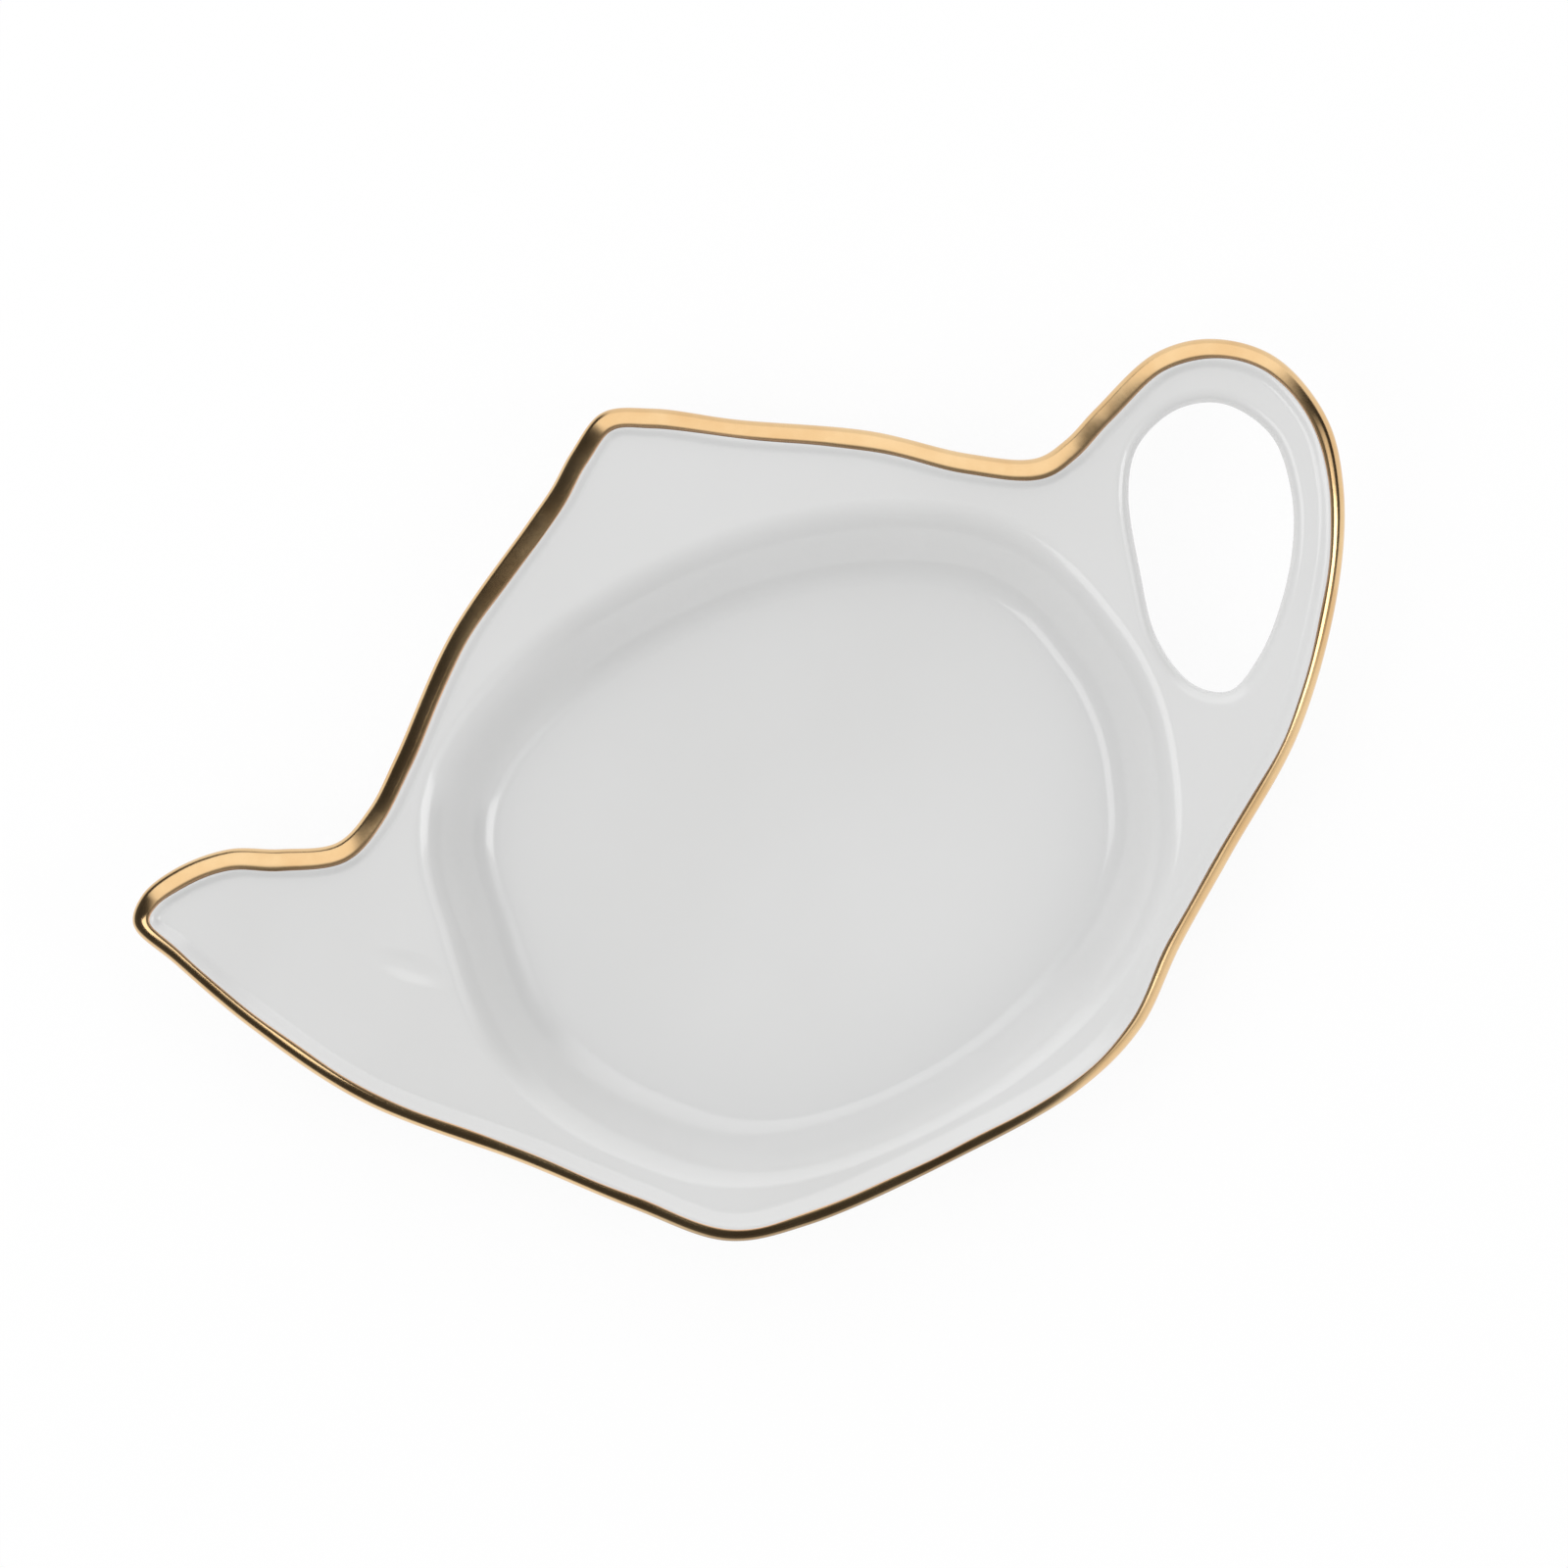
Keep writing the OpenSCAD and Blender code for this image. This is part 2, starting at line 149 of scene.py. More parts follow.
# Closed centripetal Catmull-Rom curve: knots lie apart by the square root of the distance, and each
# stretch blends its four neighbours in three rounds of straight lines
def closedCurve(points, steps):
    p = np.asarray(points, float)
    a, b, c, d = (np.roll(p, k, 0)[:, None] for k in (1, 0, -1, -2))
    first = np.sqrt(norm(b - a))[..., None]
    second = first + np.sqrt(norm(c - b))[..., None]
    third = second + np.sqrt(norm(d - c))[..., None]
    t = mix(first, second, (np.arange(steps) / steps)[None, :, None])

    def blend(low, high, start, end):
        return ((end - t) * low + (t - start) * high) / (end - start)
    ab, bc, cd = blend(a, b, 0, first), blend(b, c, first, second), blend(c, d, second, third)
    return blend(blend(ab, bc, 0, second), blend(bc, cd, first, third), first, second).reshape(-1, 2)


def follow(table, curve, place):   # point of a closed curve at a place along the table, past the end too
    place = place % table[-1]
    return np.stack([np.interp(place, table, curve[:, 0]), np.interp(place, table, curve[:, 1])], -1)


# Distance from the pole to the well's shoulder along v: cubic through the twelve reach shares by angle
def wellReach(v):
    u = v / size
    shares = np.array(restShape["wellReach"])
    turns = np.arctan2(u[..., 1], u[..., 0]) / fullTurn % 1 * len(shares)
    i = np.floor(turns).astype(int)
    f = turns - i
    a, b, c, d = (shares[(i + k) % len(shares)] for k in (-1, 0, 1, 2))
    bend = c - a + f * (2 * a - 5 * b + 4 * c - d + f * (3 * b - a - 3 * c + d))
    return norm(v) * (b + f * bend / 2) / norm(u)


def wallRunAt(v):   # the wall is steeper on the base side
    return mix(restShape["wallRun"], restShape["baseRun"], np.maximum(0, -v[..., 1] / norm(v)) ** 2)


def flangeRise(past):   # takes up its slope over the ease length
    past = np.maximum(past, 0)
    return math.tan(math.radians(restShape["flangeTilt"])) * past * past / (past + flangeEase)


def dimple(away):   # a round hollow's share of its depth: full in the middle and level at its edge
    return (1 - np.minimum(1, away) ** 2) ** 2


def spoutChannel(p):
    return -restShape["spoutDip"] * dimple(norm((p - spoutCentre) / spoutReach))


def glazeHollow(p):
    turn = math.radians(glazeMark["turn"])
    turned = np.array([[math.cos(turn), -math.sin(turn)], [math.sin(turn), math.cos(turn)]])
    return -glazeMark["deep"] * dimple(norm((p - glazeMark["place"]) @ turned / glazeMark["reach"]))


def ripple(p):   # the product of two crossed sines and a slanted sine, always a little below zero
    x, y = p[..., 0], p[..., 1]
    (xLength, xPhase), (yLength, yPhase) = ripples["crossed"]
    wave = np.sin(x / xLength + xPhase) * np.sin(y / yLength + yPhase)
    wave += ripples["slantShare"] * np.sin(x / ripples["slanted"][0] - y / ripples["slanted"][1])
    most = 1 + ripples["slantShare"]
    return ripples["high"] * (wave - most) / (2 * most) - ripples["low"]


# Height of the upper face: a parabola in the floor, a smooth step up the wall, then the climbing flange
def topHeight(p):
    v = p - pole
    r, reach, run = norm(v), wellReach(v + nudge), wallRunAt(v + nudge)
    past = r - reach
    floor = floorTop - restShape["floorDip"] * dimple(r / (reach - run))
    up = ease(np.clip(past / run + 1, 0, 1))
    beyond = mix(floorTop, shoulderTop, up) + spoutChannel(p) + flangeRise(past)
    uneven = ripple(p) * mix(ripples["floorShare"], 1, up) + glazeHollow(p)
    return np.where(past < -run, floor, beyond) + uneven


# Height of the lower face: the same steps, with the wall further out so that it keeps its thickness
def underHeight(p):
    v = p - pole
    r, reach, run = norm(v), wellReach(v + nudge), wallRunAt(v + nudge)
    past = r - reach
    up = ease(np.clip((past - wallShift) / run + 1, 0, 1))
    wall = mix(restShape["footHigh"], shoulderTop - flangeThick, up)
    return wall + spoutChannel(p) * ease(np.clip(past / run, 0, 1)) + flangeRise(past)


def lifted(p, height):   # plan points with their height as a third coordinate
    return np.concatenate([p, height(p)[..., None]], -1)


# The rim and its inward directions, evenly spaced by a key that runs on faster in the corners
rimCurve = closedCurve(np.array(restShape["bodyRim"] + restShape["handleRim"]) * size, meshing["splineSteps"])
rimStep = np.roll(rimCurve, -1, 0) - rimCurve
stepBefore = np.roll(rimStep, 1, 0)
crossStep = stepBefore[:, 0] * rimStep[:, 1] - stepBefore[:, 1] * rimStep[:, 0]
rimTurn = np.abs(np.arctan2(crossStep, (stepBefore * rimStep).sum(1)))
rimAlong = np.concatenate([[0], np.cumsum(norm(rimStep))])
rimKey = np.concatenate([[0], np.cumsum(norm(rimStep) + cornerLength * rimTurn)])
rimShut = np.vstack([rimCurve, rimCurve[:1]])
rootKey = rimKey[(len(restShape["bodyRim"]) - 1) * meshing["splineSteps"]]
keys = np.concatenate([
    np.linspace(0, rootKey, bodySteps, endpoint=False),
    np.linspace(rootKey, rimKey[-1], handleSteps, endpoint=False)])
rimPoints = follow(rimKey, rimShut, keys)
alongRim = np.interp(keys, rimKey, rimAlong)
spots = alongRim[:, None] + fairReach * np.linspace(-1, 1, meshing["headings"])
heading = follow(rimAlong, rimShut, spots + probe) - follow(rimAlong, rimShut, spots - probe)
heading = (heading / norm(heading)[..., None]).mean(1)
rimInward = np.stack([-heading[:, 1], heading[:, 0]], 1) / norm(heading)[:, None]

gripSize = [restShape["gripWidth"], restShape["gripLength"]]
gripCurve = closedCurve(np.array(restShape["grip"]) * gripSize, meshing["splineSteps"])
rimToHole = norm(rimPoints[:, None] - (gripCentre + gripCurve)[None]).min(1)
coveFit = np.minimum(1, meshing["room"] * (rimToHole - lipRadius - edgeRadius) / coveWidth)


def lipPoint(inset):   # plan points at an inset from the rim; beyond the crest the cove is squeezed to fit
    beyond = np.minimum(inset, lipRadius) + coveFit * np.maximum(0, inset - lipRadius)
    return rimPoints + rimInward * beyond[:, None]


beadFoot = lipPoint(np.full(len(keys), lipRadius + coveWidth))
crest = lipRadius - restShape["crestLean"] * rimInward[:, 1]   # inset of the crest, by rim point
rimHeight = topHeight(beadFoot)


# Lip profile: a cosine cove from the flange up to the crest at share 1, then a quarter of an ellipse out
# to the rim and a quarter of a circle under it, both drawn in most where they stand furthest out
def coveProfile(share):
    share = np.broadcast_to(share, crest.shape)
    rise = beadRise * (1 - np.cos(math.pi * share)) / 2
    return np.stack([mix(lipRadius + coveWidth, crest, share), rise], -1)


def arcProfile(angle):
    angle = np.broadcast_to(angle, crest.shape)
    reach = np.where(angle > 0, crest, lipRadius)
    drawn = restShape["draw"] * np.cos(angle)
    rise = beadRise - lipRadius + (lipRadius - drawn) * np.sin(angle)
    return np.stack([reach - (reach - drawn) * np.cos(angle), rise], -1)


def lipRow(profile):   # one ring of the lip, in space
    return np.concatenate([lipPoint(profile[:, 0]), (rimHeight + profile[:, 1])[:, None]], -1)


# Faces of a grid of points, rows by columns, wound so that they face outwards as the rows run out and down
def gridFaces(rows, columns, start, wrap, turned):
    j = np.arange(columns if wrap else columns - 1)
    nextColumn = (j + 1) % columns
    row = (start + np.arange(rows - 1) * columns)[:, None]
    corners = [row + j, row + columns + j, row + columns + nextColumn, row + nextColumn]
    faces = np.stack(corners, -1).reshape(-1, 4)
    return faces[:, ::-1] if turned else faces


# A piece from several grids: their points are stacked, their seams merged, and the whole shaded smooth
def makePiece(name, patches, fans=(), attribute=None):
    points, faces, start = [], [], 0
    for grid, wrap, turned in patches:
        rows, columns = grid.shape[:2]
        points.append(grid.reshape(-1, 3))
        faces += gridFaces(rows, columns, start, wrap, turned).tolist()
        start += rows * columns
    for middle, ring, turned in fans:
        points.append(np.vstack([middle, ring]))
        j = np.arange(len(ring))
        fan = np.stack([np.full(len(ring), start), start + 1 + j, start + 1 + (j + 1) % len(ring)], -1)
        faces += (fan[:, ::-1] if turned else fan).tolist()
        start += len(ring) + 1
    points = np.vstack(points)
    place = points * millimetre
    kept = np.clip(place, *(np.array(corner) for corner in cadBox))
    print(name, "outside the frame by mm", round(float(np.abs(place - kept).max()) / millimetre, 4))
    mesh = bpy.data.meshes.new(name)
    mesh.from_pydata(kept.tolist(), [], faces)
    if attribute:
        label, values = attribute
        shares = values(points).astype(np.float32)
        mesh.attributes.new(label, "FLOAT", "POINT").data.foreach_set("value", shares)
    shell = bmesh.new()
    shell.from_mesh(mesh)
    bmesh.ops.remove_doubles(shell, verts=shell.verts, dist=meshing["mergeWithin"])
    shell.to_mesh(mesh)
    print(name, "volume mm3", round(shell.calc_volume(signed=True) / millimetre ** 3, 1),
          "faces", len(shell.faces), "open edges", sum(not e.is_manifold for e in shell.edges))
    shell.free()
    mesh.shade_smooth()
    piece = bpy.data.objects.new(name, mesh)
    bpy.context.scene.collection.objects.link(piece)
    return piece


# Rays from the pole, by angle: towards the foot of the bead round the body, with a squared cosine bump
# added over the spout and each angle averaged with its neighbours, then evenly across the handle's root
def rayDirections():
    v = beadFoot[:bodySteps + 1] - pole
    tipKey = rimKey[meshing["spoutTip"] * meshing["splineSteps"]]
    away = np.minimum(1, np.abs(keys[:bodySteps + 1] - tipKey) / (meshing["spreadShare"] * rimKey[-1]))
    angle = np.degrees(np.arctan2(v[:, 1], v[:, 0])) % 360
    angle += meshing["spread"] * np.cos(away * rightAngle) ** 2
    total = np.concatenate([[0], np.cumsum(angle)])
    i = np.arange(bodySteps + 1)
    near = np.minimum(meshing["fairSteps"], np.minimum(i, bodySteps - i))
    body = (total[i + near + 1] - total[i - near]) / (2 * near + 1)
    root = mix(body[-1], body[0] + 360, np.arange(1, arcSteps) / arcSteps)
    angle = np.radians(np.concatenate([body, root]))
    return np.stack([np.cos(angle), np.sin(angle)], -1)


rays = rayDirections()
rayReach, rayRun = wellReach(rays), wallRunAt(rays)
shared = meshing["sharedRing"]


def onRays(reach):
    return pole + rays[:len(reach)] * reach[:, None]


def outerRows(end, shift):   # shoulder and flange rows of the body, from the shared ring to the row's end
    count = bodySteps + 1
    start = (rayReach + shift - rayRun * (1 - shared))[:count]
    left = ((end - pole) * rays[:count]).sum(1) - start
    step = np.minimum(rayRun[:count], meshing["room"] * left / (1 - shared))
    shoulder = [onRays(start + (f - shared) * step) for f in np.linspace(shared, 1, meshing["shoulderRings"])]
    flange = [mix(shoulder[-1], end, f) for f in np.linspace(0, 1, meshing["flangeRings"])[1:]]
    return np.array(shoulder + flange)


def handleLoop(rows, lip, ring):   # out the lower root, round the rim, in the upper root, back by the well
    return np.vstack([
        rows[:, -1], lip[bodySteps + 1:], rows[::-1, 0], ring[bodySteps + 1:bodySteps + arcSteps][::-1]])


# The finger hole's rings between the handle's upper and lower loops: in over the upper face, round the
# half-round edge and out over the lower face. Each point of a loop has the edge point that faces it
def gripRows(topLoop, underLoop):
    start = math.atan2(gripCurve[0, 1], gripCurve[0, 0])
    angles = (np.arctan2(gripCurve[:, 1], gripCurve[:, 0]) - start) % fullTurn
    angles[0] = 0
    v = topLoop[:, :2] - gripCentre
    facingAngle = np.arctan2(v[:, 1], v[:, 0]) - start
    shut = np.vstack([gripCurve, gripCurve[:1]])
    edge = gripCentre + follow(np.append(angles, fullTurn), shut, facingAngle)
    along = np.roll(edge, -1, 0) - np.roll(edge, 1, 0)
    outward = np.stack([along[:, 1], -along[:, 0]], -1) / norm(along)[:, None]
    seat = edge + outward * edgeRadius
    high, low = topHeight(seat), underHeight(seat)

    def edgeRing(angle):
        p = edge + outward * (edgeRadius * (1 - math.cos(angle)))
        return np.concatenate([p, mix(low, high, (1 + math.sin(angle)) / 2)[:, None]], -1)
    shares = np.linspace(0, 1, meshing["gripRings"] + 1)[1:-1]
    upper = [lifted(mix(topLoop, edgeRing(rightAngle), f)[:, :2], topHeight) for f in shares]
    lower = [lifted(mix(underLoop, edgeRing(-rightAngle), f)[:, :2], underHeight) for f in shares[::-1]]
    edgeRings = [edgeRing(a) for a in np.linspace(rightAngle, -rightAngle, meshing["edgeRings"])]
    return np.array([topLoop] + upper + edgeRings + lower + [underLoop])


# how far the painted shade at the foot of the well's wall reaches over the floor and up the wall, and how
# much of it is lacking on the lid side
paintedFootShadeSpread = {"spread": (7.0, 3.0), "lidLoss": 0.7}


# Share of painted shade, which darkens the glaze colour: a bell round the foot of the well's wall, wider over
# the floor than up the wall, and weaker towards the lid
def paintedFootShade(p):
    v = p[:, :2] - pole + nudge
    past = norm(v) - wellReach(v) + wallRunAt(v)
    bell = np.exp(-(past / np.where(past < 0, *paintedFootShadeSpread["spread"])) ** 2)
    return bell * (1 - paintedFootShadeSpread["lidLoss"] * np.maximum(0, v[:, 1] / norm(v)))


# The glazed dish: rings over the well, rows over the body, rings round the lip, the same underneath, and
# the handle's rings
def buildDish():
    wallShares = np.linspace(0, shared, meshing["wallRings"])
    floorRings = [onRays((rayReach - rayRun) * f) for f in np.linspace(0, 1, meshing["floorRings"] + 1)[1:]]
    wallRings = [onRays(rayReach - rayRun * (1 - f)) for f in wallShares[1:]]
    underRings = [onRays(rayReach + wallShift - rayRun * (1 - f)) for f in wallShares]
    topRings = lifted(np.array(floorRings + wallRings), topHeight)
    underRings = lifted(np.array(underRings), underHeight)

    cove = [coveProfile(f) for f in np.linspace(0, 1, meshing["coveRings"])]
    arc = [arcProfile(a) for a in np.linspace(rightAngle, -rightAngle, meshing["lipRings"])[1:]]
    lipRings = np.array([lipRow(profile) for profile in cove + arc])
    underEnd = lipPoint(np.full(len(keys), lipRadius))
    topRows = lifted(outerRows(beadFoot[:bodySteps + 1], 0), topHeight)
    underRows = lifted(outerRows(underEnd[:bodySteps + 1], wallShift), underHeight)
    topRows[0], underRows[0] = topRings[-1][:bodySteps + 1], underRings[-1][:bodySteps + 1]
    topRows[-1], underRows[-1] = lipRings[0][:bodySteps + 1], lipRings[-1][:bodySteps + 1]
    gripRings = gripRows(
        handleLoop(topRows, lipRings[0], topRings[-1]), handleLoop(underRows, lipRings[-1], underRings[-1]))

    middle = lifted(pole, topHeight)
    bottom = np.append(pole, restShape["footHigh"])
    # the dish carries the share of painted shade at the foot of the well's wall as a point attribute
    return makePiece("glazedDish", [
        (topRings, True, False), (topRows, False, False), (lipRings, True, False),
        (underRows[::-1], False, False), (underRings[::-1], True, False), (gripRings, True, True),
    ], [(middle, topRings[0], False), (bottom, underRings[0], True)], ("paintedShade", paintedFootShade))


glazedDish = buildDish()

# The fired gold on the lip
goldCoat = {
    "proud": 0.035, "sunk": 0.12,   # how far the gold's face stands on the glaze and its back sinks in
    "reach": 1.56, "baseThin": 0.42, "reachWander": 0.14,   # reach in from the rim, less on the base side
    "drop": 2.6, "dropWander": 0.2,   # reach down the outside
    "lowestSine": -0.98,   # stops the band short of the underside
    "reachWaves": (7, 0.7), "dropWaves": (9, 2.1),   # period and phase of the wander along each edge
    # waves of the wander: times the period, plus this many, times the phase, height
    "waves": ((1, 0, 1, 1.0), (2, 3, 2, 0.6), (5, 1, 3, 0.4)),
    "taper": 14,   # how soon the face is at its full height in from the edges
    "rings": 34,
}


def wander(period, phase):   # the sum of the sines in the settings, brought between -1 and 1
    turns = alongRim / rimAlong[-1] * fullTurn
    total = sum(high * np.sin(turns * (times * period + more) + shift * phase)
                for times, more, shift, high in goldCoat["waves"])
    return total / sum(wave[-1] for wave in goldCoat["waves"])


# The brushed band: from a wandering edge near the crest, over it, to a wandering edge below. A place on the
# profile is an angle of the arc, and past the crest a length into the cove is added to the right angle. The
# band's face is a little proud of the glaze and its back sunk into it, and it thins to nothing at both edges
def buildGold():
    reach = goldCoat["reach"] - goldCoat["baseThin"] * rimInward[:, 1]
    reach = reach + goldCoat["reachWander"] * wander(*goldCoat["reachWaves"])
    onArc = np.arccos(np.clip(1 - reach / crest, -1, 1))
    first = np.where(reach > crest, rightAngle + reach - crest, onArc)
    drop = goldCoat["drop"] + goldCoat["dropWander"] * wander(*goldCoat["dropWaves"])
    last = np.arcsin(np.maximum(goldCoat["lowestSine"], 1 - drop / lipRadius))
    coveRun = lipRadius + coveWidth - crest
    shares = np.linspace(0, 1, goldCoat["rings"])
    face, back = [], []
    for f in shares:
        place = mix(first, last, f)
        past = np.maximum(place - rightAngle, 0) / coveRun   # share of the cove beyond the crest
        angle = np.minimum(place, rightAngle)
        inCove = (past > 0)[:, None]
        profile = np.where(inCove, coveProfile(1 - past), arcProfile(angle))
        slope = math.pi * beadRise / (2 * coveRun) * np.sin(math.pi * past)
        coveOut = np.stack([slope, np.ones_like(slope)], -1)
        arcReach = np.where(angle > 0, crest, lipRadius)
        arcOut = np.stack([-lipRadius * np.cos(angle), arcReach * np.sin(angle)], -1)
        outward = np.where(inCove, coveOut, arcOut)
        outward = outward / norm(outward)[:, None]
        face.append(profile + outward * goldCoat["proud"] * min(1, goldCoat["taper"] * f * (1 - f)))
        back.append(profile - outward * goldCoat["sunk"])
    rows = np.array([lipRow(profile) for profile in face + back[::-1] + [face[0]]])
    across = np.broadcast_to(np.concatenate([shares, shares[::-1], [0]])[:, None], rows.shape[:2])
    return makePiece("goldLip", [(rows, True, False)], (), ("across", lambda points: across.ravel()))


goldLip = buildGold()

# The standing ring
footRing = {
    "round": 0.45, "rounding": 7, "columns": 360,   # radius and points of its lower corners, steps round it
    "sunk": 0.3,   # how far its top reaches into the dish
    "sideShare": 0.6, "flatShares": (0.25, 0.5, 0.75),   # where further points lie up its sides and across it
}


# Ring section by column: down the outer side, back along the resting face, up the inner side and over the
# top, with its two lower corners rounded
def buildFoot():
    turn = np.linspace(0, fullTurn, footRing["columns"], endpoint=False)
    e = np.stack([np.cos(turn), np.sin(turn)], -1)
    outer = wellReach(e) - wallRunAt(e) - restShape["footInset"]
    wide, high, r = restShape["footWide"], restShape["footHigh"], footRing["round"]
    top, side = high + footRing["sunk"], high * footRing["sideShare"]
    quarter = np.linspace(0, rightAngle, footRing["rounding"])
    section = [(0, top), (0, side)]
    section += [(r * (1 - math.cos(a)), r * (1 - math.sin(a))) for a in quarter]
    section += [(mix(r, wide - r, f), 0) for f in footRing["flatShares"]]
    section += [(wide - r * (1 - math.cos(a)), r * (1 - math.sin(a))) for a in quarter[::-1]]
    section += [(wide, side), (wide, top), (0, top)]
    level = np.ones((len(e), 1))
    rows = [np.concatenate([pole + e * (outer - inset)[:, None], level * z], -1) for inset, z in section]
    return makePiece("standingFoot", [(np.array(rows), True, False)])


standingFoot = buildFoot()

for piece, node, slotName in (
        (glazedDish, "porcelain_dish", "glazed_porcelain"), (goldLip, "gilt_rim", "fired_gold"),
        (standingFoot, "foot_ring", "bare_porcelain")):
    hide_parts(node)
    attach(piece, "root")
print("pieces made")


# Shader sums are written as expressions on wires
class Wire:
    def __init__(self, sheet, socket):
        self.sheet, self.socket = sheet, socket

    def maths(self, operation, first, second):
        return self.sheet.node("ShaderNodeMath", {"operation": operation}, {0: first, 1: second})

    def __add__(self, other):
        return self.maths("ADD", self, other)

    def __sub__(self, other):
        return self.maths("SUBTRACT", self, other)

    def __mul__(self, other):
        return self.maths("MULTIPLY", self, other)

    def __rsub__(self, other):
        return self.maths("SUBTRACT", other, self)

    __radd__, __rmul__ = __add__, __mul__


# One node tree; node() makes any node from its settings and the values or wires of its sockets
class Finish:
    def __init__(self, owner):
        owner.use_nodes = True
        self.tree = owner.node_tree
        self.tree.nodes.clear()

    def node(self, kind, settings, values, output=0):
        made = self.tree.nodes.new(kind)
        for name, value in settings.items():
            if name == "stops":
                elements = made.color_ramp.elements
                for index, (place, colour) in enumerate(value):
                    stop = elements[index] if index < len(elements) else elements.new(place)
                    stop.position, stop.color = place, (*colour, 1)
            else:
                setattr(made, name, value)
        for name, value in values.items():
            if isinstance(value, Wire):
                self.tree.links.new(value.socket, made.inputs[name])
            else:
                made.inputs[name].default_value = value
        return Wire(self, made.outputs[output])

    def close(self, surface, kind):
        output = self.tree.nodes.new("ShaderNodeOutput" + kind)
        self.tree.links.new(surface.socket, output.inputs["Surface"])

    def ramp(self, value, places, low, high):
        return self.node("ShaderNodeValToRGB", {"stops": list(zip(places, (low, high)))}, {0: value})

    def noise(self, scale, detail, rough=0.5):
        place = self.node("ShaderNodeTexCoord", {}, {}, "Object")
        values = {"Vector": place, "Scale": scale, "Detail": detail, "Roughness": rough}
        return self.node("ShaderNodeTexNoise", {}, values)

    def attribute(self, name):
        return self.node("ShaderNodeAttribute", {"attribute_name": name}, {}, "Fac")

    def between(self, value, start, end, low, high):   # smooth step from low at start to high at end
        values = {0: value, 1: start, 2: end, 3: low, 4: high}
        return self.node("ShaderNodeMapRange", {"interpolation_type": "SMOOTHSTEP"}, values)

    def tinted(self, share, base, colour):   # base colour taken towards another one
        return self.node("ShaderNodeMix", {"data_type": "RGBA"}, {0: share, 6: base, 7: (*colour, 1)}, 2)

    def bump(self, height, depth):
        return self.node("ShaderNodeBump", {}, {"Height": height, "Distance": depth, "Strength": 1.0})


def finished(piece, name, build):
    material = bpy.data.materials.new(name)
    sheet = Finish(material)
    surface = sheet.node("ShaderNodeBsdfPrincipled", {}, build(sheet))
    sheet.close(surface, "Material")
    piece.data.materials.clear()
    piece.data.materials.append(material)


# Noises are given as scale, detail and, where there is a third number, roughness
glaze = {
    # the third colour and the two weights after it paint shade at the foot of the well's wall
    "thin": (0.707, 0.707, 0.701), "thick": (0.737, 0.738, 0.735), "paintedShadeColour": (0.705, 0.707, 0.705),
    "cloud": (26, 3), "cloudStops": (0.35, 0.65), "paintedShadeEven": 0.8, "paintedShadeCloud": 0.4,
    "wave": (75, 1), "waveDepth": 0.00006, "peel": (260, 1), "peelDepth": 0.000006,
    "roughLow": 0.16, "roughHigh": 0.21, "refraction": 1.52,
    "coat": 0.5, "coatRough": 0.07, "coatRefraction": 1.5,
}


def glazedPorcelain(sheet):   # clouded white, painted shade at the wall's foot, slow waves and a faint peel
    cloud = sheet.noise(*glaze["cloud"])
    base = sheet.ramp(cloud, glaze["cloudStops"], glaze["thin"], glaze["thick"])
    # painted shade: the colour is taken darker at the foot of the well's wall
    paintedShade = sheet.attribute("paintedShade") * (glaze["paintedShadeEven"] + cloud * glaze["paintedShadeCloud"])
    peelShare = glaze["peelDepth"] / glaze["waveDepth"]
    height = sheet.noise(*glaze["wave"]) + sheet.noise(*glaze["peel"]) * peelShare
    return {
        "Base Color": sheet.tinted(paintedShade, base, glaze["paintedShadeColour"]),
        "Roughness": cloud * (glaze["roughHigh"] - glaze["roughLow"]) + glaze["roughLow"],
        "Normal": sheet.bump(height, glaze["waveDepth"]), "IOR": glaze["refraction"],
        "Coat Weight": glaze["coat"], "Coat Roughness": glaze["coatRough"],
        "Coat IOR": glaze["coatRefraction"],
    }


gold = {
    "bright": (0.87, 0.615, 0.335), "deep": (0.79, 0.515, 0.255), "edge": (0.74, 0.46, 0.30),
    "stroke": (140, 4, 0.6), "strokeStops": (0.35, 0.65), "strokeDepth": 0.00002,
    "grain": (1500, 2), "grainDepth": 0.000002,
    "roughLow": 0.10, "roughHigh": 0.24,
    # the thin edges: where they are thinnest and end, how the strokes fray them, and how much they change
    "edgeStart": 0.01, "edgeWidth": 0.06, "fray": 0.05,
    "edgeTint": 0.8, "edgeRough": 0.15, "edgeDull": 0.25,
}


def firedGold(sheet):   # brushed film: thinner and redder at both edges, faint strokes and grain
    across = sheet.attribute("across")
    stroke, grain = sheet.noise(*gold["stroke"]), sheet.noise(*gold["grain"])
    base = sheet.ramp(stroke, gold["strokeStops"], gold["deep"], gold["bright"])
    fromEdge = across * (1 - across) + (stroke - 0.5) * gold["fray"]
    thin = sheet.between(fromEdge, gold["edgeStart"], gold["edgeWidth"], 1.0, 0.0)
    rough = stroke * (gold["roughHigh"] - gold["roughLow"]) + gold["roughLow"] + thin * gold["edgeRough"]
    height = stroke + grain * (gold["grainDepth"] / gold["strokeDepth"])
    return {
        "Base Color": sheet.tinted(thin * gold["edgeTint"], base, gold["edge"]),
        "Metallic": 1.0 - thin * gold["edgeDull"], "Roughness": rough,
        "Normal": sheet.bump(height, gold["strokeDepth"]),
    }


bisque = {
    "clay": (0.74, 0.70, 0.64), "worn": (0.60, 0.55, 0.49), "glazed": (0.75, 0.75, 0.745),
    "stain": (60, 4, 0.65), "grain": (1800, 3, 0.7), "stainShare": 0.7, "stainStops": (0.38, 0.56),
    "grainDepth": 0.00003, "clayRough": 0.82, "glazeRough": 0.08,
    # metres: height where the glaze starts, half of its blur, and its wander
    "glazeLine": 0.00075, "glazeBlur": 0.0003, "lineWander": 0.0006,
}


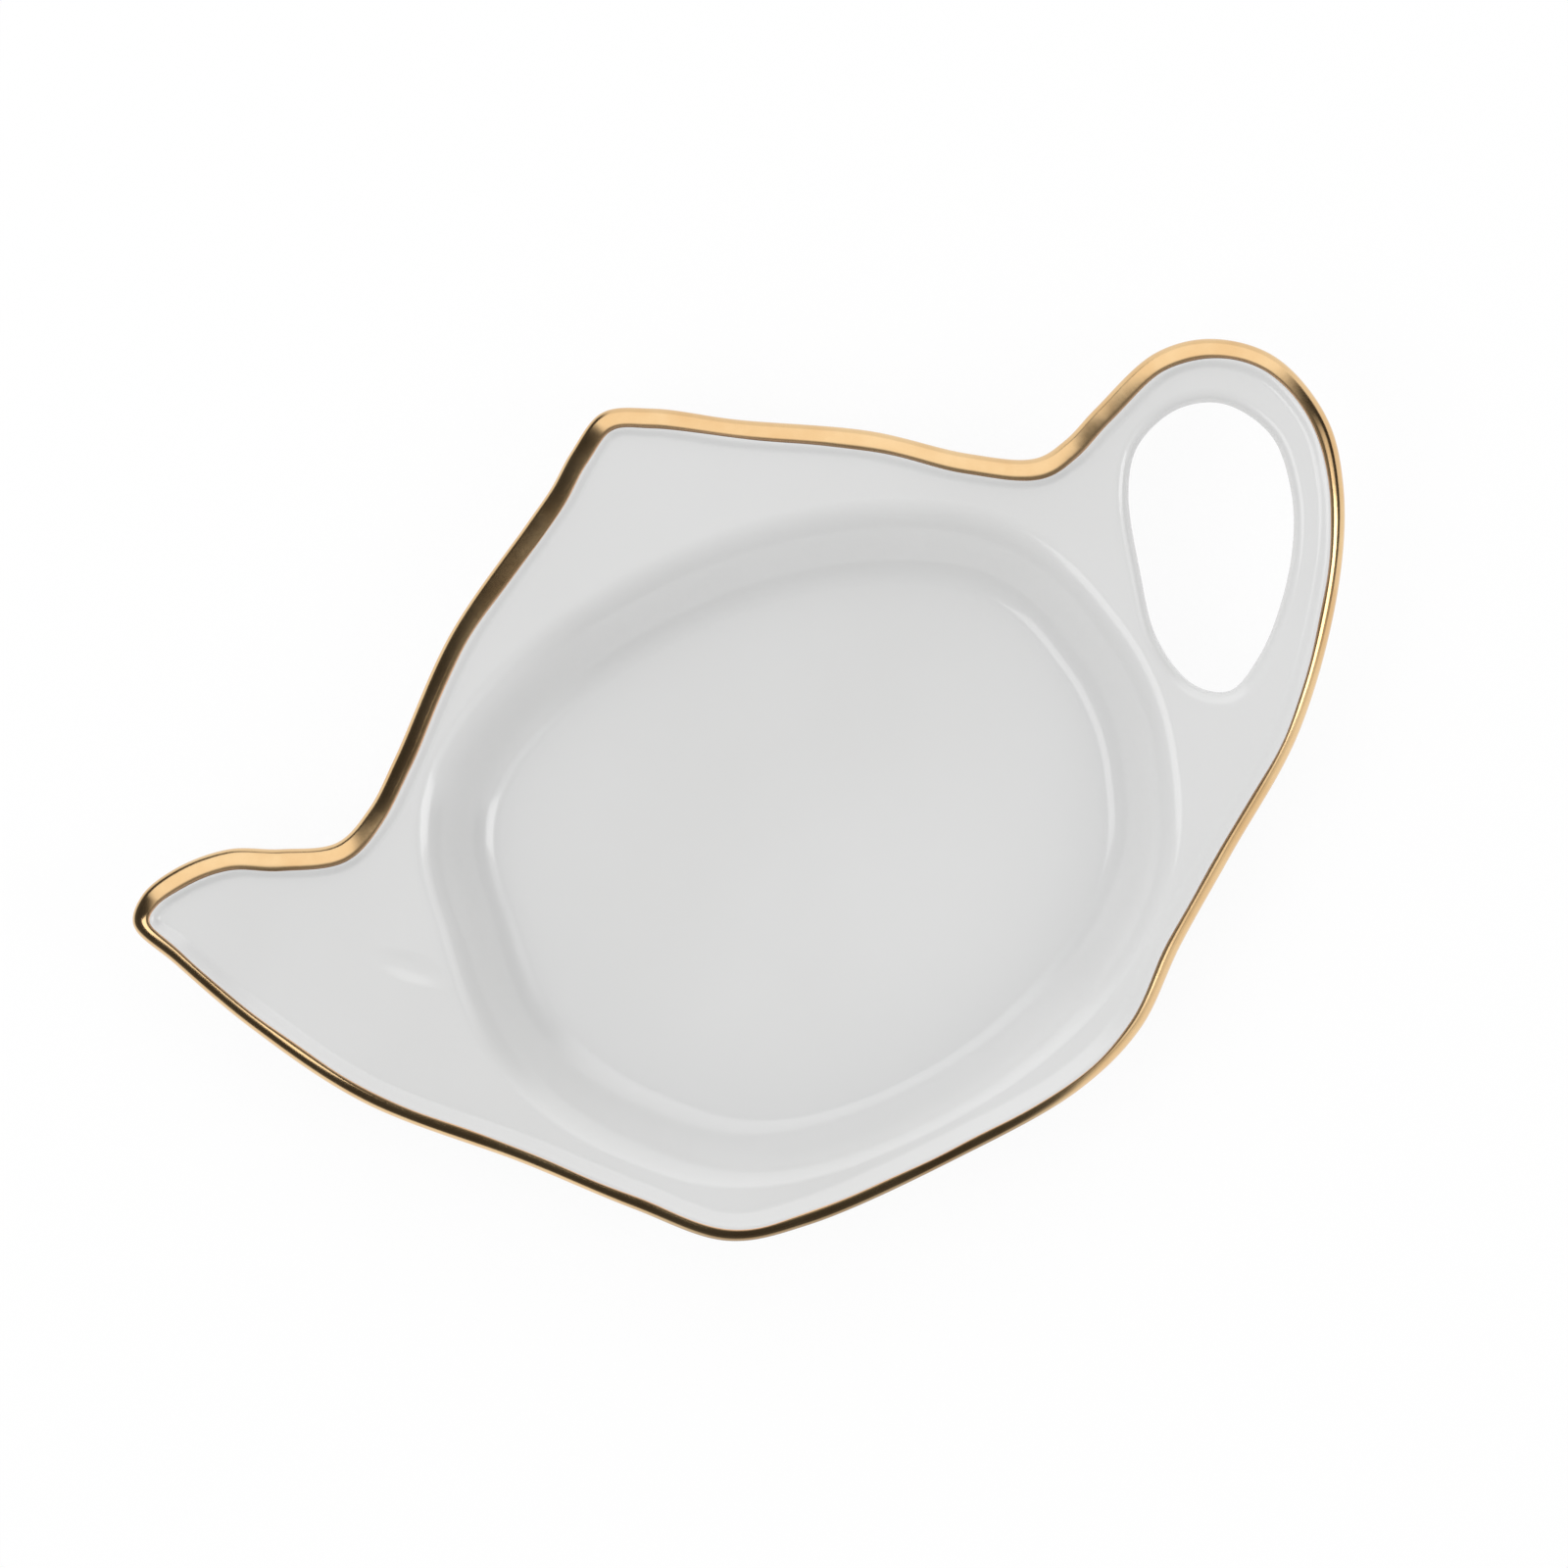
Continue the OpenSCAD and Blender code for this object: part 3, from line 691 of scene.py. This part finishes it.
def barePorcelain(sheet):   # matt clay on the resting face, stained where it stands, glazed up its sides
    place = sheet.node("ShaderNodeTexCoord", {}, {}, "Object")
    high = sheet.node("ShaderNodeSeparateXYZ", {}, {0: place}, "Z")
    stain, grain = sheet.noise(*bisque["stain"]), sheet.noise(*bisque["grain"])
    line, blur = bisque["glazeLine"], bisque["glazeBlur"]
    glazed = sheet.between(high + (stain - 0.5) * bisque["lineWander"], line - blur, line + blur, 0.0, 1.0)
    marks = stain * bisque["stainShare"] + grain * (1 - bisque["stainShare"])
    clay = sheet.ramp(marks, bisque["stainStops"], bisque["worn"], bisque["clay"])
    return {
        "Base Color": sheet.tinted(glazed, clay, bisque["glazed"]),
        "Roughness": bisque["clayRough"] - glazed * (bisque["clayRough"] - bisque["glazeRough"]),
        "Normal": sheet.bump(grain * (1 - glazed), bisque["grainDepth"]),
    }


finished(glazedDish, "glazedPorcelain", glazedPorcelain)
finished(goldLip, "firedGold", firedGold)
finished(standingFoot, "barePorcelain", barePorcelain)
print("finishes made")

# The studio. Directions are in degrees round from image right, and heights are those of a unit direction
studio = {
    "tilt": 25.6,   # degrees that the rest is turned in the picture
    "frameWidth": 0.146, "lens": 200, "sensor": 36,
    "floorGlow": 0.9, "floorColour": (0.95, 0.95, 0.95), "floorSize": 6.0, "floorDrop": 2e-5,
    "paperEnd": (2.5, 7.0),   # where the floor's own shading fades into the white
    "fill": 0.585, "fillUp": -0.24, "fillRight": -0.11,   # light from all round, changing across the picture
    # what shines in the gold: a pale room low down, dark walls and a dim ceiling, with the heights where
    # one gives way to the next
    "horizon": 0.95, "walls": 0.04, "ceiling": 0.20, "wallFoot": (0.0, 0.09), "wallTop": (0.93, 0.995),
    "shade": 0.06,   # brightness of the room's dark half
    "brightTurn": 32, "brightWide": (-0.05, 0.25),   # middle of its bright half, and cosines of its edge
    # soft pale cards that only mirror rays see: direction, cosines of the half widths at which they fade
    # out and are full, the heights likewise at top and foot, and the strength
    "mirrorCards": [
        (92, (0.60, 0.77), (0.990, 0.91), (-0.2, -0.1), 1.15),
        (-12, (0.72, 0.90), (0.95, 0.80), (0.42, 0.60), 0.90),
        (-32, (0.90, 0.975), (0.55, 0.35), (-0.2, -0.1), 0.80),
    ],
    # pale card that the rest stands on in the mirror: half length and half width, shares of them where it
    # fades, and how much dimmer it is below the rest, and where
    "cardReach": (0.062, 0.041), "cardEnd": (1.20, 1.60),
    "cardDim": 0.5, "dimTurn": 285, "dimWide": (0.75, 0.95),
}
lamps = [   # name, direction, degrees from overhead, distance, breadth, height, radiance, seen in mirrors
    ("topSoftbox", 92, 49, 1.0, 1.30, 1.60, 0.95, False),   # the first of the soft cards is its mirror image
    ("rightSoftbox", -8, 48, 1.0, 0.32, 0.50, 2.2, True),
    ("leftStrip", 203, 40, 1.0, 0.75, 0.50, 1.6, True),
]
tilt = math.radians(studio["tilt"])
imageRight = np.array([math.cos(tilt), -math.sin(tilt), 0])
imageUp = np.array([math.sin(tilt), math.cos(tilt), 0])
overhead = np.array([0, 0, 1])
boxMiddle = (np.array(cadBox[0]) + np.array(cadBox[1])) / 2

cameraData = bpy.data.cameras.new("overheadCamera")
camera = bpy.data.objects.new("overheadCamera", cameraData)
cameraData.lens, cameraData.sensor_width = studio["lens"], studio["sensor"]
camera.location = boxMiddle + overhead * studio["frameWidth"] * studio["lens"] / studio["sensor"]
camera.rotation_euler = (0, 0, -tilt)
bpy.context.scene.collection.objects.link(camera)
bpy.context.scene.camera = camera
bpy.context.scene.view_settings.view_transform = "Standard"


def wayRound(degrees):   # level direction, by degrees round from image right
    turn = math.radians(degrees)
    return imageRight * math.cos(turn) + imageUp * math.sin(turn)


for name, degrees, down, far, broad, tall, radiance, mirrored in lamps:
    light = bpy.data.lights.new(name, "AREA")
    light.shape, light.size, light.size_y = "RECTANGLE", broad, tall
    light.energy = radiance * math.pi * broad * tall
    lamp = bpy.data.objects.new(name, light)
    fall = math.radians(down)
    back = wayRound(degrees) * math.sin(fall) + overhead * math.cos(fall)
    side = np.cross(overhead, back) / math.sin(fall)
    columns = np.stack([side, np.cross(back, side), back, back * far], 1)
    lamp.matrix_world = Matrix(np.vstack([columns, [0, 0, 0, 1]]).tolist())
    lamp.visible_glossy = mirrored
    bpy.context.scene.collection.objects.link(lamp)

reach, level = studio["floorSize"] / 2, -studio["floorDrop"]
corners = [(-reach, -reach, level), (reach, -reach, level), (reach, reach, level), (-reach, reach, level)]
floorMesh = bpy.data.meshes.new("paleFloor")
floorMesh.from_pydata(corners, [], [(0, 1, 2, 3)])
paleFloor = bpy.data.objects.new("paleFloor", floorMesh)
bpy.context.scene.collection.objects.link(paleFloor)


def vectorMaths(sheet, operation, *values, output=0):
    return sheet.node("ShaderNodeVectorMath", {"operation": operation}, dict(enumerate(values)), output)


def rayIs(sheet, kind):
    return sheet.node("ShaderNodeLightPath", {}, {}, "Is " + kind + " Ray")


def grey(sheet, strength):
    return sheet.node("ShaderNodeCombineColor", {}, {0: strength, 1: strength, 2: strength})


def alongWay(sheet, place, way):   # how far a place lies along a direction
    return vectorMaths(sheet, "DOT_PRODUCT", place, tuple(way), output="Value")


def facing(sheet, place, degrees, start, end):   # 1 where a place lies near a direction, seen from above
    towards = vectorMaths(sheet, "NORMALIZE", vectorMaths(sheet, "MULTIPLY", place, (1, 1, 0)))
    return sheet.between(alongWay(sheet, towards, wayRound(degrees)), start, end, 0.0, 1.0)


def brightHalf(sheet, place):
    return facing(sheet, place, studio["brightTurn"], *studio["brightWide"])


# The floor: white paper with the rest's shadow to the camera, white far out, and in mirrors a pale card
# under the rest and a room with a bright half
def paintFloor(sheet):
    place = sheet.node("ShaderNodeTexCoord", {}, {}, "Object")
    perReach = [1 / reach for reach in studio["cardReach"]]
    fromCard = vectorMaths(
        sheet, "LENGTH", vectorMaths(sheet, "MULTIPLY", place, (*perReach, 0)), output="Value")
    paper = sheet.node("ShaderNodeBsdfDiffuse", {}, {"Color": (*studio["floorColour"], 1)})
    white = sheet.node("ShaderNodeEmission", {}, {"Color": (1, 1, 1, 1), "Strength": 1.0})
    glowing = sheet.between(fromCard, *studio["paperEnd"], studio["floorGlow"], 1.0)
    plain = sheet.node("ShaderNodeMixShader", {}, {0: rayIs(sheet, "Camera") * glowing, 1: paper, 2: white})
    dimmed = facing(sheet, place, studio["dimTurn"], *studio["dimWide"]) * studio["cardDim"]
    card = sheet.between(fromCard, *studio["cardEnd"], 1.0, 0.0) * (1 - dimmed)
    bright = brightHalf(sheet, place)
    strength = (card + bright - card * bright) * (studio["horizon"] - studio["shade"]) + studio["shade"]
    shine = sheet.node("ShaderNodeEmission", {}, {"Color": grey(sheet, strength), "Strength": 1.0})
    return sheet.node("ShaderNodeMixShader", {}, {0: rayIs(sheet, "Glossy"), 1: plain, 2: shine})


# The sky: white to the camera, the room and its soft cards in mirrors, and an even light for all else
def paintSky(sheet):
    direction = sheet.node("ShaderNodeTexCoord", {}, {}, "Generated")
    height = sheet.node("ShaderNodeSeparateXYZ", {}, {0: direction}, "Z")
    fillWay = imageUp * studio["fillUp"] + imageRight * studio["fillRight"]
    even = alongWay(sheet, direction, fillWay) + studio["fill"]
    low = sheet.between(height, *studio["wallFoot"], 1.0, 0.0)
    high = sheet.between(height, *studio["wallTop"], studio["walls"], studio["ceiling"])
    pale = brightHalf(sheet, direction) * (studio["horizon"] - studio["shade"]) + studio["shade"]
    room = low * (pale - high) + high
    for degrees, wide, (topOut, topFull), foot, strong in studio["mirrorCards"]:
        shape = facing(sheet, direction, degrees, *wide) * sheet.between(height, topFull, topOut, 1.0, 0.0)
        shape = shape * sheet.between(height, *foot, 0.0, 1.0)
        room = room + shape * (strong - room)
    seen, mirrored = rayIs(sheet, "Camera"), rayIs(sheet, "Glossy")
    strength = seen + (1 - seen) * (mirrored * room + (1 - mirrored) * even)
    return sheet.node("ShaderNodeBackground", {}, {"Color": grey(sheet, strength), "Strength": 1.0})


floorMaterial = bpy.data.materials.new("paleFloor")
floorSheet = Finish(floorMaterial)
floorSheet.close(paintFloor(floorSheet), "Material")
floorMesh.materials.append(floorMaterial)

studioSky = bpy.data.worlds.new("studioSky")
bpy.context.scene.world = studioSky
skySheet = Finish(studioSky)
skySheet.close(paintSky(skySheet), "World")
print("studio made")
